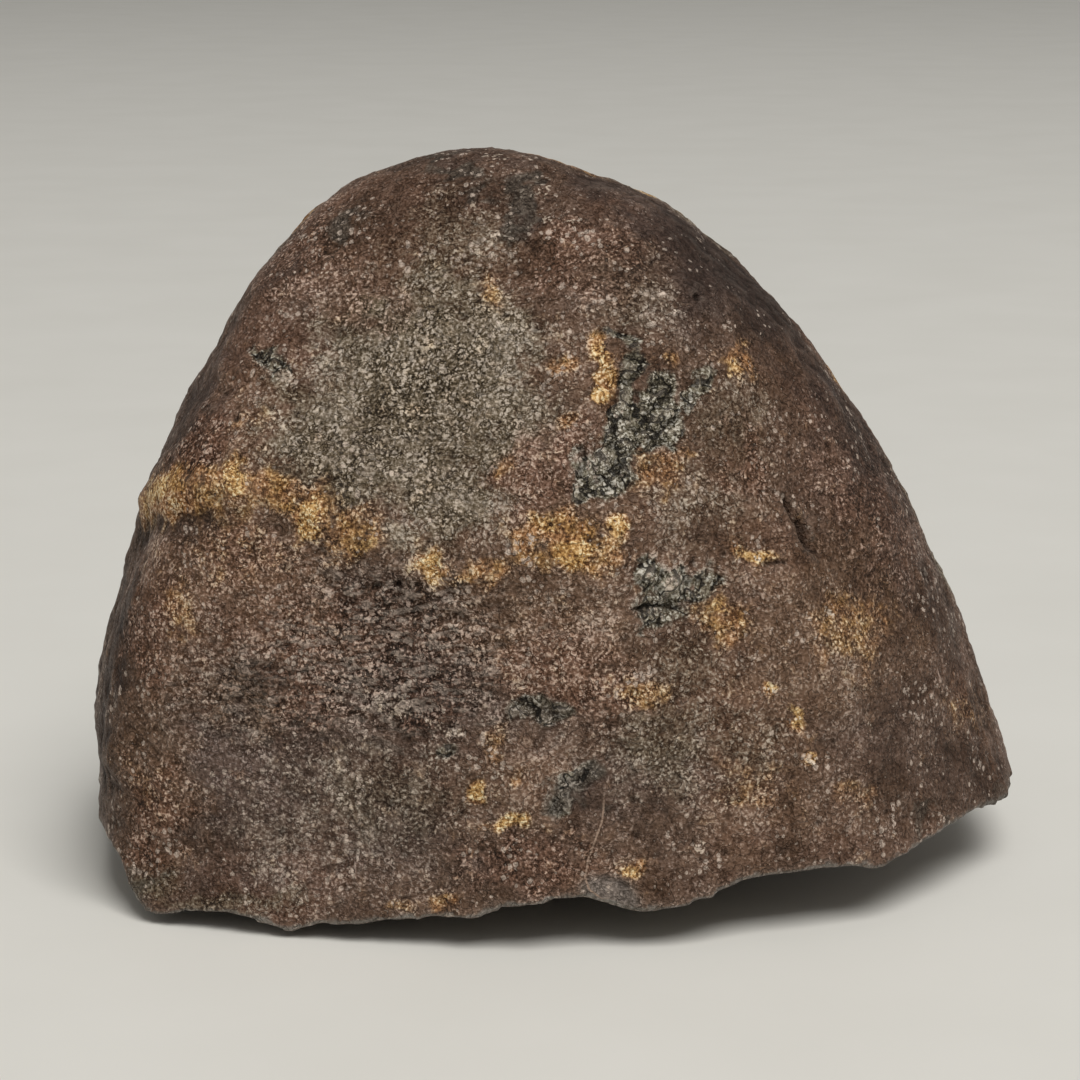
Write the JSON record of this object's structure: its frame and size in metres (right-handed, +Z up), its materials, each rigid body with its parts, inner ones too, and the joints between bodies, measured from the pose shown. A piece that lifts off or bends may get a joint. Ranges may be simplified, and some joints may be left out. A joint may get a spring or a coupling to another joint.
{
  "type": "chondrite meteorite",
  "caption": "Blunt, loaf-shaped chondrite meteorite with worn facets, a brow across its front and a broken underside, resting on a small flat spot.",
  "frame": {"origin": "bottom centre of the stone's bounding box, level with its flat resting spot", "axes": "+X along the stone's width, +Y from its broad front to its back, +Z up"},
  "size_m": [0.092, 0.06, 0.0704],
  "materials": {
    "weathered_chondrite": "weathered brown stone, finely granular and slightly glossy, with ochre rust stains, pale flecks and dark crust patches"
  },
  "bodies": {
    "root": {"meteorite": "weathered_chondrite"}
  },
  "joints": []
}
